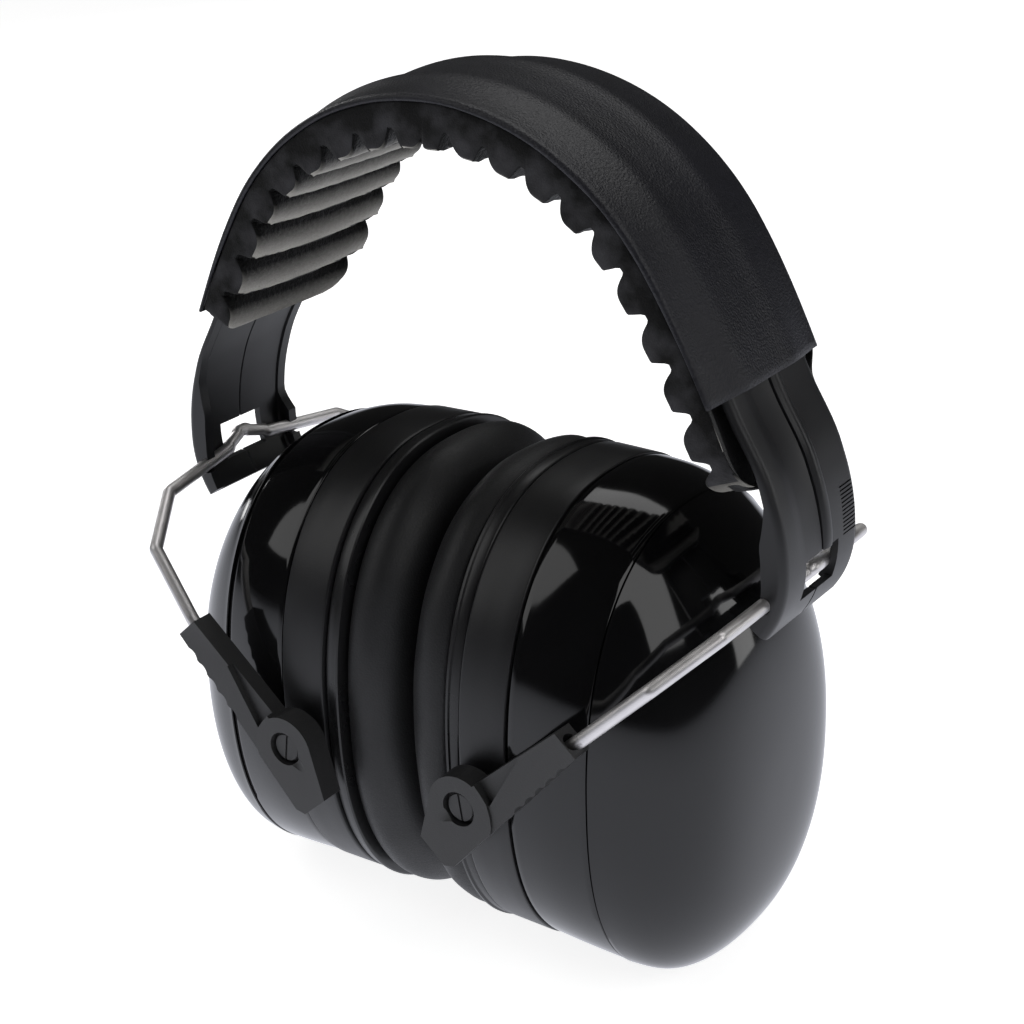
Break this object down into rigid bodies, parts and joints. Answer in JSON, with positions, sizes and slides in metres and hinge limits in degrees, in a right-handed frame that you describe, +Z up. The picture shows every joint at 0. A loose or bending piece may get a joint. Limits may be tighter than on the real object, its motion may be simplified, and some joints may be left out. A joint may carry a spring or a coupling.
{
  "type": "earmuff hearing protector",
  "caption": "Over-head earmuff hearing protector: padded headband, sliding arms, wire forks and tilting oval ear cups with soft cushions.",
  "frame": {"origin": "centre of the bounding box's bottom face, on the surface that the cups' flat feet stand on", "axes": "+X runs through both ear cups to the wearer's one side, +Z up towards the crown of the headband, -Y to the front"},
  "size_m": [0.1482, 0.0964, 0.1796],
  "materials": {
    "cover_leather": "fine-grain black leatherette, soft satin",
    "backing_leather": "smooth black leatherette",
    "pad_leather": "coarse-grain black leatherette over foam, matte",
    "spring_steel": "plain spring steel strip",
    "satin_steel": "satin drawn steel wire",
    "arm_plastic": "black moulded plastic, fine satin texture",
    "fork_plastic": "dark grey-black moulded plastic, matte",
    "matte_plastic": "black moulded plastic, satin",
    "gloss_plastic": "polished black plastic",
    "cushion_leather": "soft black vinyl skin, matte",
    "foam": "open-cell absorber foam, matte"
  },
  "bodies": {
    "headband": {"headband_cover": "cover_leather", "headband_core": "spring_steel", "pad_backing": "backing_leather", "headband_pad": "pad_leather"},
    "arm_left": {"arm_front_left": "arm_plastic", "arm_rear_left": "arm_plastic"},
    "fork_left": {"wire_fork_left": "satin_steel", "fork_end_front_left": "fork_plastic", "fork_end_rear_left": "fork_plastic"},
    "cup_left": {"cup_base_left": "matte_plastic", "cup_shell_left": "gloss_plastic", "cup_cap_left": "gloss_plastic", "cushion_plate_left": "matte_plastic", "ear_cushion_left": "cushion_leather", "foam_insert_left": "foam", "pivot_pin_front_left": "fork_plastic", "pivot_pin_rear_left": "fork_plastic"},
    "arm_right": {"arm_front_right": "arm_plastic", "arm_rear_right": "arm_plastic"},
    "fork_right": {"wire_fork_right": "satin_steel", "fork_end_front_right": "fork_plastic", "fork_end_rear_right": "fork_plastic"},
    "cup_right": {"cup_base_right": "matte_plastic", "cup_shell_right": "gloss_plastic", "cup_cap_right": "gloss_plastic", "cushion_plate_right": "matte_plastic", "ear_cushion_right": "cushion_leather", "foam_insert_right": "foam", "pivot_pin_front_right": "fork_plastic", "pivot_pin_rear_right": "fork_plastic"}
  },
  "joints": [
    {"name": "arm_left_slide", "type": "slide", "parent": "headband", "child": "arm_left", "axis": [-0.4848, 0, -0.8746], "range_m": [0, 0.02]},
    {"name": "fork_left_swing", "type": "hinge", "parent": "arm_left", "child": "fork_left", "pos_m": [-0.0691, 0, 0.0885], "axis": [0, -1, 0], "range_deg": [-3, 4], "deforming": ["ear_cushion_left"]},
    {"name": "cup_left_tilt", "type": "hinge", "parent": "fork_left", "child": "cup_left", "pos_m": [-0.022, 0, 0.0475], "axis": [0, -1, 0], "range_deg": [-8, 8], "deforming": ["ear_cushion_left"]},
    {"name": "arm_right_slide", "type": "slide", "parent": "headband", "child": "arm_right", "axis": [0.4848, 0, -0.8746], "range_m": [0, 0.02]},
    {"name": "fork_right_swing", "type": "hinge", "parent": "arm_right", "child": "fork_right", "pos_m": [0.0691, 0, 0.0885], "axis": [0, 1, 0], "range_deg": [-3, 4], "deforming": ["ear_cushion_right"]},
    {"name": "cup_right_tilt", "type": "hinge", "parent": "fork_right", "child": "cup_right", "pos_m": [0.022, 0, 0.0475], "axis": [0, 1, 0], "range_deg": [-8, 8], "deforming": ["ear_cushion_right"]}
  ]
}
